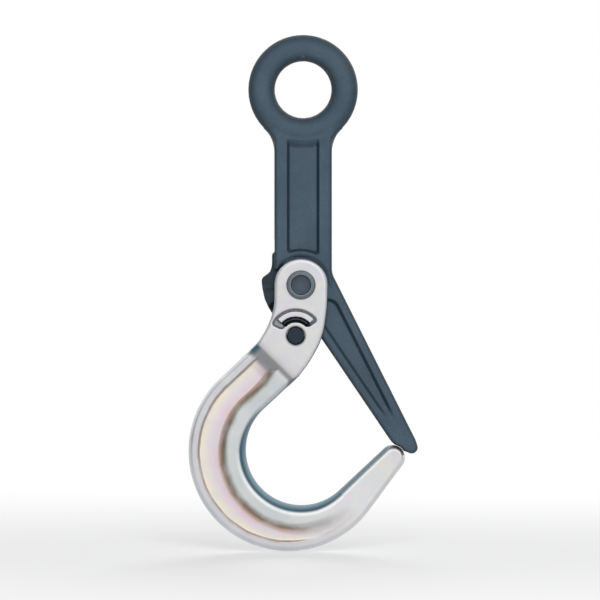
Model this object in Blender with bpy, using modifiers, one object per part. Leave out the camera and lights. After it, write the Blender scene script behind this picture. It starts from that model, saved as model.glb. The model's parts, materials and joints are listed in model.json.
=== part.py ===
"""Safety chain hook: an eye forging with its latch arm, and a plated hook that locks against it.

Millimetres here, metres in Blender. X is across the hook, Y through its thickness, Z up. The load line
is x = 0, the mid plane is y = 0, and the bottom of the bowl is z = 0. Angles are in the XZ plane, in
degrees from +X towards +Z.
"""

from math import asin, cos, hypot, pi, radians, sin

import bmesh
import bpy
from mathutils import Matrix

MM = 0.001
GAP = 0.3  # running clearance between neighbouring pieces

# eye and shank
EYE = (0.0, 193.8)
EYE_RING = 17.45
EYE_WIRE = 5.45
SHANK_HALF_WIDTH = 12.0
SHANK_HALF = 6.9
SHANK_FILLET = 14.5
RAIL = 5.6
PANEL_DEPTH = 2.7

# load pin, fork head and tongue
LOAD_PIN = (-0.9, 111.7)
LOAD_PIN_R = 5.0
LOAD_HEAD_R = 6.1
LOAD_HEAD_RISE = 1.1
HEAD_R = 11.1
HEAD_HALF = 11.0
FORK_HALF = 6.1
TONGUE_HALF = FORK_HALF - GAP
TONGUE_R = 10.4
SHOULDER_R = HEAD_R + 0.5
SHOULDER_LEFT = 146.0  # where the shank's left shoulder stops, so that the open fork passes under it

# latch arm
ARM_TOP = (12.0, 116.6)
ARM_RIGHT_ANGLE = -63.3
ARM_LEFT_ANGLE = -55.9
ARM_LEFT_START = (8.25, 88.6)
ARM_END_HALF = 4.0
ARM_NOSE = (45.6, 43.5)
ARM_NOSE_R = 2.5
SEAT_GAP = 0.6
WEB_DEPTH = 1.7
RIB = 3.8

# bowl
BOWL_OUT = (-6.2, 41.9)
BOWL_OUT_R = 41.9
BOWL_IN = (-0.8, 42.5)
BOWL_IN_R = 23.4
NECK_ANGLE = 133.0  # where the neck's straight sides meet the round of the bowl
NECK_LENGTH = 29.0
POINT_OUT = 323.5
POINT_IN = 313.0
POINT_LENGTH = 24.3
RIB_HALF = 8.0
RIM_HALF = 6.1
FLOOR_HALF = 4.5
TIP_HALF = 5.0
RIB_WIDTH = 9.7

# step between the thick head and the bowl
STEP_LEFT = (-17.7, 86.9)
STEP_RIGHT = (-5.4, 74.8)
STEP_RUN = 7.4
STEP_DROP = 7.0
FLOOR_ABOVE_STEP = 6.0

# trigger, its pin and its spring
TRIGGER_PIN = (-3.1, 90.5)
TRIGGER_PIN_R = 3.65
TRIGGER_PIN_RECESS = 0.6
TRIGGER_HALF = 2.5
TRIGGER_HUB_R = 6.0
TRIGGER_INNER_R = 8.3
PAD_HALF = 5.3
RELIEF_HALF = TRIGGER_HALF + GAP
RELIEF_INNER_R = 7.6
RELIEF_OUTER_R = 20.9
BROW = (5.6, 7.9, 10.1, 11.7)  # radii of the arched brow about the trigger pin
BROW_DEPTH = 1.2
CRESCENT = (5.8, 7.7)
CRESCENT_DEPTH = 3.0
BROW_SPREAD = 58.0
SPRING_WIRE = 0.5
SPRING_R = 4.6
SPRING_BRIDGE = (-11.6, 96.0)


def clear_scene():
    for thing in list(bpy.data.objects):
        bpy.data.objects.remove(thing, do_unlink=True)


def collection(name):
    made = bpy.data.collections.new(name)
    bpy.context.scene.collection.children.link(made)
    return made


def material(name, colour, metallic, roughness):
    made = bpy.data.materials.new(name)
    made.use_nodes = True
    shader = made.node_tree.nodes["Principled BSDF"]
    shader.inputs["Base Color"].default_value = (*colour, 1.0)
    shader.inputs["Metallic"].default_value = metallic
    shader.inputs["Roughness"].default_value = roughness
    return made


# ---- plane geometry ----------------------------------------------------------------------------------


def polar(centre, radius, angle):
    a = radians(angle)
    return (centre[0] + radius * cos(a), centre[1] + radius * sin(a))


def arc(centre, radius, start, end, steps):
    return [polar(centre, radius, start + (end - start) * i / steps) for i in range(steps + 1)]


def along(point, angle, distance):
    return polar(point, distance, angle)


def between(a, b, share):
    return (a[0] + (b[0] - a[0]) * share, a[1] + (b[1] - a[1]) * share)


def smooth(low, high, value):
    t = min(max((value - low) / (high - low), 0.0), 1.0)
    return t * t * (3 - 2 * t)


def line_x(point, angle, z):
    """x where the line through a point at an angle reaches height z."""
    a = radians(angle)
    return point[0] + (z - point[1]) * cos(a) / sin(a)


# ---- objects -----------------------------------------------------------------------------------------


def adopt(name, mesh, group, finish=None, origin=(0.0, 0.0)):
    """An object from a world-space mesh, with its origin on the given axis through the mid plane."""
    place = Matrix.Translation((origin[0] * MM, 0.0, origin[1] * MM))
    mesh.transform(place.inverted())
    thing = bpy.data.objects.new(name, mesh)
    thing.matrix_world = place
    group.objects.link(thing)
    if finish:
        mesh.materials.append(finish)
    else:
        thing.hide_render = True
        thing.display_type = "WIRE"
    return thing


def weld(mesh):
    bm = bmesh.new()
    bm.from_mesh(mesh)
    bmesh.ops.remove_doubles(bm, verts=bm.verts, dist=1e-6)
    bmesh.ops.dissolve_limit(bm, angle_limit=radians(0.5), verts=bm.verts, edges=bm.edges)
    bmesh.ops.recalc_face_normals(bm, faces=bm.faces)
    bm.to_mesh(mesh)
    bm.free()


def curve_mesh(curve, rotation=(0.0, 0.0, 0.0)):
    """The evaluated, welded mesh of a curve, in world space. The curve is removed."""
    guide = bpy.data.objects.new("outline", curve)
    guide.rotation_euler = rotation
    bpy.context.scene.collection.objects.link(guide)
    bpy.context.view_layer.update()
    graph = bpy.context.evaluated_depsgraph_get()
    mesh = bpy.data.meshes.new_from_object(guide.evaluated_get(graph))
    mesh.transform(guide.matrix_world)
    bpy.data.objects.remove(guide, do_unlink=True)
    weld(mesh)
    return mesh


def plate(name, loops, half, y=0.0):
    """A flat plate in the XZ plane, centred on y, from one or more outlines."""
    curve = bpy.data.curves.new(name, "CURVE")
    curve.dimensions = "2D"
    curve.fill_mode = "BOTH"
    curve.extrude = half * MM
    for loop in loops:
        spline = curve.splines.new("POLY")
        spline.points.add(len(loop) - 1)
        for point, (x, z) in zip(spline.points, loop):
            point.co = (x * MM, z * MM, 0.0, 1.0)
        spline.use_cyclic_u = True
    mesh = curve_mesh(curve, (pi / 2, 0.0, 0.0))
    mesh.transform(Matrix.Translation((0.0, y * MM, 0.0)))
    return mesh


def profile_bar(name, profile, half):
    """A bar along X from an outline of (y, z) points."""
    mesh = plate(name, [profile], half)
    mesh.transform(Matrix.Rotation(pi / 2, 4, "Z"))
    return mesh


def cylinder(name, centre, radius, half, segments=32, y=0.0):
    bm = bmesh.new()
    turn = Matrix.Rotation(pi / 2, 4, "X")
    place = Matrix.Translation((centre[0] * MM, y * MM, centre[1] * MM))
    bmesh.ops.create_cone(
        bm,
        cap_ends=True,
        segments=segments,
        radius1=radius * MM,
        radius2=radius * MM,
        depth=2 * half * MM,
        matrix=place @ turn,
    )
    mesh = bpy.data.meshes.new(name)
    bm.to_mesh(mesh)
    bm.free()
    return mesh


def combine(target, tool, operation):
    modifier = target.modifiers.new(tool.name, "BOOLEAN")
    modifier.object = tool
    modifier.operation = operation
    modifier.solver = "EXACT"


def round_edges(thing, width, segments, angle):
    modifier = thing.modifiers.new("rounding", "BEVEL")
    modifier.width = width * MM
    modifier.segments = segments
    modifier.limit_method = "ANGLE"
    modifier.angle_limit = radians(angle)


def soften(thing):
    thing.data.shade_smooth()
    thing.data.set_sharp_from_angle(angle=radians(35))


# ---- eye, shank, tongue and latch arm -------------------------------------------------------------------


def eye_mesh():
    bpy.ops.mesh.primitive_torus_add(
        major_segments=48,
        minor_segments=16,
        major_radius=EYE_RING * MM,
        minor_radius=EYE_WIRE * MM,
    )
    ring = bpy.context.object
    mesh = ring.data.copy()
    bpy.data.objects.remove(ring, do_unlink=True)
    stand = Matrix.Translation((EYE[0] * MM, 0.0, EYE[1] * MM)) @ Matrix.Rotation(pi / 2, 4, "X")
    mesh.transform(stand)
    return mesh


def shank_outline():
    """Both sides flare into the eye. The bottom is a round shoulder over the fork head."""
    reach = EYE_RING + EYE_WIRE + SHANK_FILLET
    drop = (reach**2 - (SHANK_HALF_WIDTH + SHANK_FILLET) ** 2) ** 0.5
    corner = (SHANK_HALF_WIDTH + SHANK_FILLET, EYE[1] - drop)
    touch = 180.0 - asin(drop / reach) * 180.0 / pi
    right = arc(corner, SHANK_FILLET, 180.0, touch, 6)
    left = [(-x, z) for x, z in reversed(right)]
    inside = arc(EYE, EYE_RING, 225.0, 315.0, 8)
    shoulder = arc(LOAD_PIN, SHOULDER_R, 0.0, SHOULDER_LEFT, 20)
    horn_z = shoulder[-1][1]
    return (
        left
        + [(-SHANK_HALF_WIDTH, horn_z)]
        + shoulder[::-1]
        + [(SHANK_HALF_WIDTH, LOAD_PIN[1])]
        + right
        + inside[::-1]
    )


def shank_side():
    """The shank is thick down its length and thins into the eye."""
    low = LOAD_PIN[1] - 20.0
    half = [(SHANK_HALF, low), (SHANK_HALF, EYE[1] - 25.0), (SHANK_HALF * 0.35, EYE[1] - 13.0)]
    return half + [(-y, z) for y, z in reversed(half)]


def panel_outline():
    """The recessed panel: straight sides, and a bottom edge that follows the fork head."""
    half = SHANK_HALF_WIDTH - RAIL
    bottom = arc(LOAD_PIN, HEAD_R + 3.6, 90.0 + 23.0, 90.0 - 23.0, 8)
    sides = [(half, EYE[1] - 15.0), (-half, EYE[1] - 15.0)]
    return [(-half, bottom[0][1])] + bottom[1:-1] + [(half, bottom[-1][1])] + sides


def tip_centre():
    return between(point_out(POINT_LENGTH - 1.0), point_in(POINT_LENGTH + 1.0), 0.5)


def tip_radius():
    a, b = point_out(POINT_LENGTH - 1.0), point_in(POINT_LENGTH + 1.0)
    return ((a[0] - b[0]) ** 2 + (a[1] - b[1]) ** 2) ** 0.5 / 2


def arm_outline():
    """The tongue's round hub, then the arm down to its nose, with a hollow seat for the hook's tip."""
    right_low_z = ARM_NOSE[1] + 3.2
    right_low = (line_x(ARM_TOP, ARM_RIGHT_ANGLE, right_low_z), right_low_z)
    nose = arc(ARM_NOSE, ARM_NOSE_R, 15.0, -125.0, 7)
    seat = arc(tip_centre(), tip_radius() + SEAT_GAP, 32.0, 78.0, 6)
    left_low_z = seat[-1][1] + 1.6
    left_low = (line_x(ARM_LEFT_START, ARM_LEFT_ANGLE, left_low_z), left_low_z)
    left_high = (line_x(ARM_LEFT_START, ARM_LEFT_ANGLE, 99.0), 99.0)
    hub = arc(LOAD_PIN, TONGUE_R, 262.0, 130.0, 16)
    top = [(-7.0, LOAD_PIN[1] + 12.2), (9.5, LOAD_PIN[1] + 12.2), (11.2, ARM_TOP[1] + 1.7)]
    return top + [right_low] + nose + seat + [left_low, left_high] + hub


def arm_side():
    """The arm thins towards its nose."""
    half = [(ARM_END_HALF, 36.0), (ARM_END_HALF, 46.0), (TONGUE_HALF, 96.0), (TONGUE_HALF, 135.0)]
    return half + [(-y, z) for y, z in reversed(half)]


def web_outline():
    """The hollow between the arm's two ribs. It narrows to a point near the nose."""
    start_z = 105.0
    end_z = 57.0
    across = RIB / sin(radians(-ARM_RIGHT_ANGLE))
    across_left = RIB / sin(radians(-ARM_LEFT_ANGLE))
    top = (line_x(ARM_TOP, ARM_RIGHT_ANGLE, start_z) - across, start_z)
    end = (line_x(ARM_TOP, ARM_RIGHT_ANGLE, end_z) - across, end_z)
    left = (line_x(ARM_LEFT_START, ARM_LEFT_ANGLE, 84.0) + across_left, 84.0)
    return [top, end, (end[0] - 1.2, end_z), left]


def relief_outline():
    """The hollow in the tongue and shank that the trigger's nose sweeps through."""
    return arc(LOAD_PIN, RELIEF_OUTER_R, 94.0, 250.0, 30) + arc(LOAD_PIN, RELIEF_INNER_R, 250.0, 94.0, 24)


def make_eye_latch(group, tools, paint):
    body = adopt("eye_latch_forging", eye_mesh(), group, paint)
    shank = adopt("shank_block", plate("shank", [shank_outline()], SHANK_HALF + 1.0), tools)
    side = adopt("shank_side", profile_bar("shank_side", shank_side(), 40.0), tools)
    combine(shank, side, "INTERSECT")
    round_edges(shank, 1.2, 2, 60.0)
    for face in (-1, 1):
        y = face * (SHANK_HALF - PANEL_DEPTH + 5.0)
        panel = adopt("panel_cut", plate("panel", [panel_outline()], 5.0, y), tools)
        combine(shank, panel, "DIFFERENCE")
    arm = adopt("arm_block", plate("arm", [arm_outline()], TONGUE_HALF + 1.0), tools)
    arm_taper = adopt("arm_side", profile_bar("arm_side", arm_side(), 80.0), tools)
    combine(arm, arm_taper, "INTERSECT")
    web_middle = TONGUE_HALF - WEB_DEPTH + 4.2
    for face in (-1, 1):
        web = adopt("web_cut", plate("web", [web_outline()], 5.0, face * web_middle), tools)
        combine(arm, web, "DIFFERENCE")
    combine(body, shank, "UNION")
    combine(body, arm, "UNION")
    relief = adopt("trigger_relief", plate("relief", [relief_outline()], RELIEF_HALF), tools)
    bore = adopt("load_bore_tongue", cylinder("bore", LOAD_PIN, LOAD_PIN_R + GAP, 20.0), tools)
    combine(body, relief, "DIFFERENCE")
    combine(body, bore, "DIFFERENCE")
    soften(body)
    return body


# ---- hook body --------------------------------------------------------------------------------------


def point_out(distance):
    return along(polar(BOWL_OUT, BOWL_OUT_R, POINT_OUT), POINT_OUT - 270.0, distance)


def point_in(distance):
    return along(polar(BOWL_IN, BOWL_IN_R, POINT_IN), POINT_IN - 270.0, distance)


def bowl_stations():
    """Outer and inner edge points from neck to tip, with half thickness and groove share."""
    stations = []
    for i in range(7):
        back = NECK_LENGTH * (1 - i / 7)
        outer = along(polar(BOWL_OUT, BOWL_OUT_R, NECK_ANGLE), NECK_ANGLE - 90.0, back)
        inner = along(polar(BOWL_IN, BOWL_IN_R, NECK_ANGLE), NECK_ANGLE - 90.0, back * 0.76)
        stations.append((outer, inner, RIB_HALF + smooth(0.0, 20.0, back), 1.0))
    for i in range(27):
        t = i / 26
        outer = polar(BOWL_OUT, BOWL_OUT_R, NECK_ANGLE + (POINT_OUT - NECK_ANGLE) * t)
        inner = polar(BOWL_IN, BOWL_IN_R, NECK_ANGLE + (POINT_IN - NECK_ANGLE) * t)
        thin = smooth(0.75, 1.4, t)
        half = RIB_HALF + (TIP_HALF - RIB_HALF) * thin
        stations.append((outer, inner, half, 1.0 - smooth(0.66, 0.98, t)))
    for i in range(1, 6):
        t = i / 5
        outer = point_out((POINT_LENGTH - 1.0) * t)
        inner = point_in((POINT_LENGTH + 1.0) * t)
        thin = smooth(0.75, 1.4, 1.0 + 0.4 * t)
        half = RIB_HALF + (TIP_HALF - RIB_HALF) * thin
        stations.append((outer, inner, half, 0.0))
    return stations + tip_stations(stations[-1])


def tip_stations(last):
    """Shrinking sections round off the tip."""
    outer, inner, half, _ = last
    middle = between(outer, inner, 0.5)
    radius = tip_radius()
    heading = (POINT_OUT + POINT_IN) / 2 - 270.0
    rounded = []
    for degrees in (20.0, 40.0, 58.0, 74.0, 84.0):
        centre = along(middle, heading, radius * sin(radians(degrees)))
        shrink = cos(radians(degrees))
        ends = []
        for edge in (outer, inner):
            offset = (edge[0] - middle[0], edge[1] - middle[1])
            ends.append((centre[0] + offset[0] * shrink, centre[1] + offset[1] * shrink))
        rounded.append((ends[0], ends[1], half * shrink, 0.0))
    return rounded


def section(width, half, groove):
    """Half a section from outer to inner edge: (share of the width, height over the mid plane)."""
    low = half - (half - FLOOR_HALF) * groove
    rim = half - (half - RIM_HALF) * groove
    scale = min(1.0, width / 20.0)
    outer = [(0.0, 0.0), (0.0, 0.55 * rim), (0.9, 0.85 * rim), (2.3, rim), (3.9, rim), (5.2, low)]
    inner = [(RIB_WIDTH + 1.8, low), (RIB_WIDTH, (low + half) / 2), (RIB_WIDTH - 1.9, half), (4.0, half)]
    inner += [(4.0 * (1 - sin(radians(a))), half * cos(radians(a))) for a in (28.0, 52.0, 74.0, 90.0)]
    from_outer = [(distance * scale / width, height) for distance, height in outer]
    from_inner = [(1.0 - distance * scale / width, height) for distance, height in inner]
    return from_outer + from_inner


def bowl_mesh():
    """A loft of closed sections along the bowl, mirrored in the mid plane."""
    bm = bmesh.new()
    rings = []
    for outer, inner, half, groove in bowl_stations():
        upper = section(hypot(outer[0] - inner[0], outer[1] - inner[1]), half, groove)
        lower = [(share, -height) for share, height in reversed(upper[1:-1])]
        ring = []
        for share, height in upper + lower:
            x, z = between(outer, inner, share)
            ring.append(bm.verts.new((x * MM, height * MM, z * MM)))
        rings.append(ring)
    count = len(rings[0])
    for a, b in zip(rings, rings[1:]):
        for i in range(count):
            j = (i + 1) % count
            bm.faces.new((a[i], a[j], b[j], b[i]))
    bm.faces.new(rings[0])
    bm.faces.new(rings[-1])
    bmesh.ops.recalc_face_normals(bm, faces=bm.faces)
    mesh = bpy.data.meshes.new("bowl")
    bm.to_mesh(mesh)
    bm.free()
    return mesh


def step_angle():
    run = (STEP_RIGHT[0] - STEP_LEFT[0], STEP_RIGHT[1] - STEP_LEFT[1])
    return asin(run[1] / (run[0] ** 2 + run[1] ** 2) ** 0.5) * 180.0 / pi


def head_outline():
    """The round top about the load pin, the two sides, and a bottom edge just below the step."""
    top = arc(LOAD_PIN, HEAD_R, 180.0, 0.0, 24)
    heading = step_angle()
    left_end = along(along(STEP_LEFT, heading - 90.0, STEP_RUN), heading, 1.0)
    right_end = along(left_end, heading, 19.0)
    left = [(-12.0, 105.4), (-12.4, 101.6), (-13.6, 97.4), (-15.6, 92.9), (-18.3, 88.6)]
    right = [(10.2, 105.4), (9.8, 100.0), (8.8, 93.0), (6.8, 86.9), (4.1, 81.9), (2.0, 78.5), (-0.6, 75.2)]
    return top + right + [right_end, left_end] + left[::-1]


def fork_outline():
    """The space between the cheeks, above a floor that runs beside the step."""
    heading = step_angle()
    floor = along(STEP_LEFT, heading + 90.0, FLOOR_ABOVE_STEP)
    left = along(floor, heading, -22.0)
    right = along(floor, heading, 40.0)
    return [left, right, (right[0], 135.0), (left[0], 135.0)]


def step_bar(face):
    """A block whose sloped side cuts the step between the cheek and the bowl."""
    heading = radians(step_angle())
    low = HEAD_HALF - STEP_DROP
    run = STEP_RUN
    high = HEAD_HALF + 9.0
    reach = run + 22.0
    profile = [(0.0, HEAD_HALF), (0.0, high), (reach, high), (reach, low), (run, low)]
    bm = bmesh.new()
    ends = []
    for distance in (-30.0, 50.0):
        loop = []
        for away, height in profile:
            x = STEP_LEFT[0] + distance * cos(heading) + away * sin(heading)
            z = STEP_LEFT[1] + distance * sin(heading) - away * cos(heading)
            loop.append(bm.verts.new((x * MM, face * height * MM, z * MM)))
        ends.append(loop)
    count = len(profile)
    for i in range(count):
        j = (i + 1) % count
        bm.faces.new((ends[0][i], ends[0][j], ends[1][j], ends[1][i]))
    bm.faces.new(ends[0])
    bm.faces.new(ends[1])
    bmesh.ops.recalc_face_normals(bm, faces=bm.faces)
    mesh = bpy.data.meshes.new("step_bar")
    bm.to_mesh(mesh)
    bm.free()
    return mesh


def brow_loops():
    """An arched hollow about the trigger pin, with a raised arch left standing in it."""
    inner, rib_inner, rib_outer, outer = BROW
    low, high = 90.0 - BROW_SPREAD, 90.0 + BROW_SPREAD
    hollow = arc(TRIGGER_PIN, outer, low, high, 14) + arc(TRIGGER_PIN, inner, high, low, 10)
    arch = arc(TRIGGER_PIN, rib_outer, low + 8.0, high - 8.0, 12)
    arch += arc(TRIGGER_PIN, rib_inner, high - 8.0, low + 8.0, 10)
    return [hollow, arch]


def crescent_loop():
    """The deep crescent between the raised arch and the trigger pin."""
    low, high = 90.0 - BROW_SPREAD + 9.0, 90.0 + BROW_SPREAD - 9.0
    return arc(TRIGGER_PIN, CRESCENT[1], low, high, 10) + arc(TRIGGER_PIN, CRESCENT[0], high, low, 8)


def make_hook_body(group, tools, plating):
    body = adopt("hook_body", plate("head", [head_outline()], HEAD_HALF), group, plating, LOAD_PIN)
    round_edges(body, 0.9, 2, 60.0)
    for face in (-1, 1):
        step = adopt("step_cut", step_bar(face), tools)
        combine(body, step, "DIFFERENCE")
    bowl = adopt("bowl_block", bowl_mesh(), tools)
    combine(body, bowl, "UNION")
    fork = adopt("fork_cut", plate("fork", [fork_outline()], FORK_HALF), tools)
    combine(body, fork, "DIFFERENCE")
    for face in (-1, 1):
        y = face * (HEAD_HALF - BROW_DEPTH + 5.0)
        brow = adopt("brow_cut", plate("brow", brow_loops(), 5.0, y), tools)
        combine(body, brow, "DIFFERENCE")
        deep = face * (HEAD_HALF - CRESCENT_DEPTH + 5.0)
        crescent = adopt("crescent_cut", plate("crescent", [crescent_loop()], 5.0, deep), tools)
        combine(body, crescent, "DIFFERENCE")
    for name, pin, radius in (
        ("load_bore_fork", LOAD_PIN, LOAD_PIN_R),
        ("trigger_bore_fork", TRIGGER_PIN, TRIGGER_PIN_R),
    ):
        bore = adopt(name, cylinder(name, pin, radius + GAP, 20.0), tools)
        combine(body, bore, "DIFFERENCE")
    soften(body)
    return body


# ---- pins ---------------------------------------------------------------------------------------------


def turned(name, profile, centre, group, finish):
    """A pin about the Y axis from (radius, y) points, listed from the +Y end to the -Y end."""
    mesh = bpy.data.meshes.new(name)
    bm = bmesh.new()
    points = [bm.verts.new((radius * MM, 0.0, along_axis * MM)) for radius, along_axis in profile]
    for a, b in zip(points, points[1:]):
        bm.edges.new((a, b))
    bm.to_mesh(mesh)
    bm.free()
    thing = bpy.data.objects.new(name, mesh)
    group.objects.link(thing)
    mesh.materials.append(finish)
    screw = thing.modifiers.new("turning", "SCREW")
    screw.axis = "Z"
    screw.steps = 32
    screw.render_steps = 32
    screw.use_merge_vertices = True
    screw.merge_threshold = 0.00005
    thing.location = (centre[0] * MM, 0.0, centre[1] * MM)
    thing.rotation_euler = (-pi / 2, 0.0, 0.0)
    return thing


def make_load_pin(group, steel):
    """A riveted pin: each end is spread into a ring with a dished middle."""
    face = HEAD_HALF + GAP
    top = face + LOAD_HEAD_RISE
    end = [
        (0.0, top - 0.7),
        (LOAD_HEAD_R * 0.48, top - 0.6),
        (LOAD_HEAD_R * 0.66, top - 0.1),
        (LOAD_HEAD_R * 0.76, top),
        (LOAD_HEAD_R * 0.92, top - 0.25),
        (LOAD_HEAD_R, top - 0.7),
        (LOAD_HEAD_R, face),
        (LOAD_PIN_R, face),
    ]
    profile = end + [(radius, -y) for radius, y in reversed(end)]
    return turned("load_pin", profile, LOAD_PIN, group, steel)


def make_trigger_pin(group, steel):
    reach = HEAD_HALF - TRIGGER_PIN_RECESS
    end = [(0.0, reach), (TRIGGER_PIN_R - 0.6, reach), (TRIGGER_PIN_R, reach - 0.6)]
    profile = end + [(radius, -y) for radius, y in reversed(end)]
    return turned("trigger_pin", profile, TRIGGER_PIN, group, steel)


# ---- trigger and spring ---------------------------------------------------------------------------------


def trigger_outline():
    """Hub, back with its thumb lobe, nose, and an inner side that follows the load pin."""
    nose = arc((-11.3, 124.0), 1.6, 170.0, 10.0, 6)
    back = [(-9.6, 94.4), (-12.0, 98.6), (-14.4, 102.4), (-16.0, 106.0), (-16.9, 110.3), (-17.25, 113.4)]
    ledge = [(-16.9, 114.8), (-15.4, 115.8), (-13.7, 117.2), (-13.0, 119.4), (-12.85, 121.5)]
    inner = arc(LOAD_PIN, TRIGGER_INNER_R, 135.0, 212.0, 10) + [(-6.9, 100.8)]
    hub = arc(TRIGGER_PIN, TRIGGER_HUB_R, 128.0, -205.0, 24)
    return back + ledge + nose + inner + hub


def pad_outline():
    """The wide thumb pad, low on the lobe, outside the tongue's round."""
    back = [(-13.9, 101.7), (-14.4, 102.4), (-16.0, 106.0), (-16.8, 109.6)]
    return back + arc(LOAD_PIN, 12.6, 189.0, 217.0, 5)


def make_trigger(group, tools, steel):
    outline = plate("trigger", [trigger_outline()], TRIGGER_HALF)
    body = adopt("trigger", outline, group, steel, TRIGGER_PIN)
    pad = adopt("pad_block", plate("pad", [pad_outline()], PAD_HALF), tools)
    bore = adopt("trigger_bore", cylinder("bore", TRIGGER_PIN, TRIGGER_PIN_R + GAP, 20.0), tools)
    combine(body, pad, "UNION")
    combine(body, bore, "DIFFERENCE")
    soften(body)
    return body


def spring_path():
    """One wire: a leg on the fork's floor, a coil, a bridge behind the trigger, the other coil and leg."""
    reach = ((SPRING_BRIDGE[0] - TRIGGER_PIN[0]) ** 2 + (SPRING_BRIDGE[1] - TRIGGER_PIN[1]) ** 2) ** 0.5
    rise = asin((SPRING_BRIDGE[1] - TRIGGER_PIN[1]) / reach) * 180.0 / pi
    arrive = 180.0 - rise - 90.0 + asin(SPRING_R / reach) * 180.0 / pi
    leave = step_angle() - 90.0 - 360.0
    pitch = 2 * SPRING_WIRE + 0.1
    inside = TRIGGER_HALF + GAP + SPRING_WIRE
    steps = 26
    coil = []
    for i in range(steps + 1):
        angle = leave + (arrive - leave) * i / steps
        x, z = polar(TRIGGER_PIN, SPRING_R, angle)
        coil.append((x, inside + pitch * (arrive - angle) / 360.0, z))
    floor_run = along(along((coil[0][0], coil[0][2]), step_angle(), -8.0), step_angle() - 90.0, 0.8)
    leg = (floor_run[0], coil[0][1], floor_run[1])
    bridge = (SPRING_BRIDGE[0], inside, SPRING_BRIDGE[1])
    half = [leg] + coil + [bridge]
    return half + [(x, -y, z) for x, y, z in reversed(half)]


def make_spring(group, steel):
    curve = bpy.data.curves.new("spring", "CURVE")
    curve.dimensions = "3D"
    curve.bevel_depth = SPRING_WIRE * MM
    curve.bevel_resolution = 1
    curve.use_fill_caps = True
    path = spring_path()
    spline = curve.splines.new("POLY")
    spline.points.add(len(path) - 1)
    for point, (x, y, z) in zip(spline.points, path):
        point.co = (x * MM, y * MM, z * MM, 1.0)
    thing = adopt("trigger_spring", curve_mesh(curve), group, steel, TRIGGER_PIN)
    soften(thing)
    return thing


def main():
    clear_scene()
    group = collection("safety_chain_hook")
    tools = collection("cutters")
    paint = material("dark_forging_paint", (0.055, 0.085, 0.12), 0.0, 0.5)
    plating = material("zinc_plating", (0.62, 0.6, 0.6), 1.0, 0.35)
    pin_steel = material("pin_steel", (0.2, 0.24, 0.3), 1.0, 0.4)
    dark_steel = material("dark_steel", (0.02, 0.025, 0.035), 0.6, 0.5)
    spring_steel = material("spring_steel", (0.3, 0.3, 0.32), 1.0, 0.3)
    make_eye_latch(group, tools, paint)
    make_hook_body(group, tools, plating)
    make_load_pin(group, pin_steel)
    make_trigger_pin(group, dark_steel)
    make_trigger(group, tools, dark_steel)
    make_spring(group, spring_steel)


main()
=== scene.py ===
"""Looks for the safety chain hook: fine forged surfaces, plating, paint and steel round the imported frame.

Lengths are in millimetres until a mesh is made. X is across the hook, Y through its thickness, Z up.
Angles are in degrees in the XZ plane, from X towards Z.
The two forgings and the trigger are distance fields: closed forms joined with real fillets, then meshed.
"""

import json
from collections import namedtuple
from math import cos, hypot, pi, radians, sin

import bpy
import numpy as np
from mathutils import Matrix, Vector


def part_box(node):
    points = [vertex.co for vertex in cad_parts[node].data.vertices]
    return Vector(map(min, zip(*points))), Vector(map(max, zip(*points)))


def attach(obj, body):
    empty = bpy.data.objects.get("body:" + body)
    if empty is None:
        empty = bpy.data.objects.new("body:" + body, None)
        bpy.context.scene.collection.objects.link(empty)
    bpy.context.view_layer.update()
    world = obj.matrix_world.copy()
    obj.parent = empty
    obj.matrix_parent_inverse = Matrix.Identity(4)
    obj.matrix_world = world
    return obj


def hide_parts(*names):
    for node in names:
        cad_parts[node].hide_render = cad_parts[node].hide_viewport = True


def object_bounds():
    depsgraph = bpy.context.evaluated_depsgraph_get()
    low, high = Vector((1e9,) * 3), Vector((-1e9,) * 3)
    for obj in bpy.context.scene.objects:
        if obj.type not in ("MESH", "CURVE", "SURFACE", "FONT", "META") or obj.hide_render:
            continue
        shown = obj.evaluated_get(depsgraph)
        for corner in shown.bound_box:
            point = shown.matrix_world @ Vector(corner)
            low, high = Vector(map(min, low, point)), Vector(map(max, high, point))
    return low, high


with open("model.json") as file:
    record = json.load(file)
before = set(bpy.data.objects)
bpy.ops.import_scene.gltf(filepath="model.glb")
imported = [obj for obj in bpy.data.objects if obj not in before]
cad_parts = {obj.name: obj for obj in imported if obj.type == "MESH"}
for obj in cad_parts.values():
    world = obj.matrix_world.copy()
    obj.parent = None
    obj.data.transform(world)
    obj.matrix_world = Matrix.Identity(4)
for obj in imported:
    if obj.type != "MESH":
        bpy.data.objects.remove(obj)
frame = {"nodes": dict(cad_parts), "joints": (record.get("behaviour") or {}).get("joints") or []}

import openvdb
from mathutils import Vector

cad_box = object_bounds()
MM = 0.001


def joint_place(name):
    """(x, z) of a joint's axis, which runs along Y."""
    for joint in frame["joints"]:
        if joint["name"] == name:
            return (joint["pos_m"][0] / MM, joint["pos_m"][2] / MM)
    raise KeyError(name)


def box_mm(node):
    low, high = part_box(node)
    return low / MM, high / MM


# ---- places and sizes, from the frame ----------------------------------------------------------------

LOAD_PIN = joint_place("hook_swing")
TRIGGER_PIN = joint_place("trigger_pull")
FORGING_LOW, FORGING_HIGH = box_mm("eye_latch_forging")
HOOK_LOW, HOOK_HIGH = box_mm("hook_body")
LOAD_PIN_END = box_mm("load_pin")[1]
TRIGGER_PIN_END = box_mm("trigger_pin")[1]
TRIGGER_LOW, TRIGGER_HIGH = box_mm("trigger")

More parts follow.
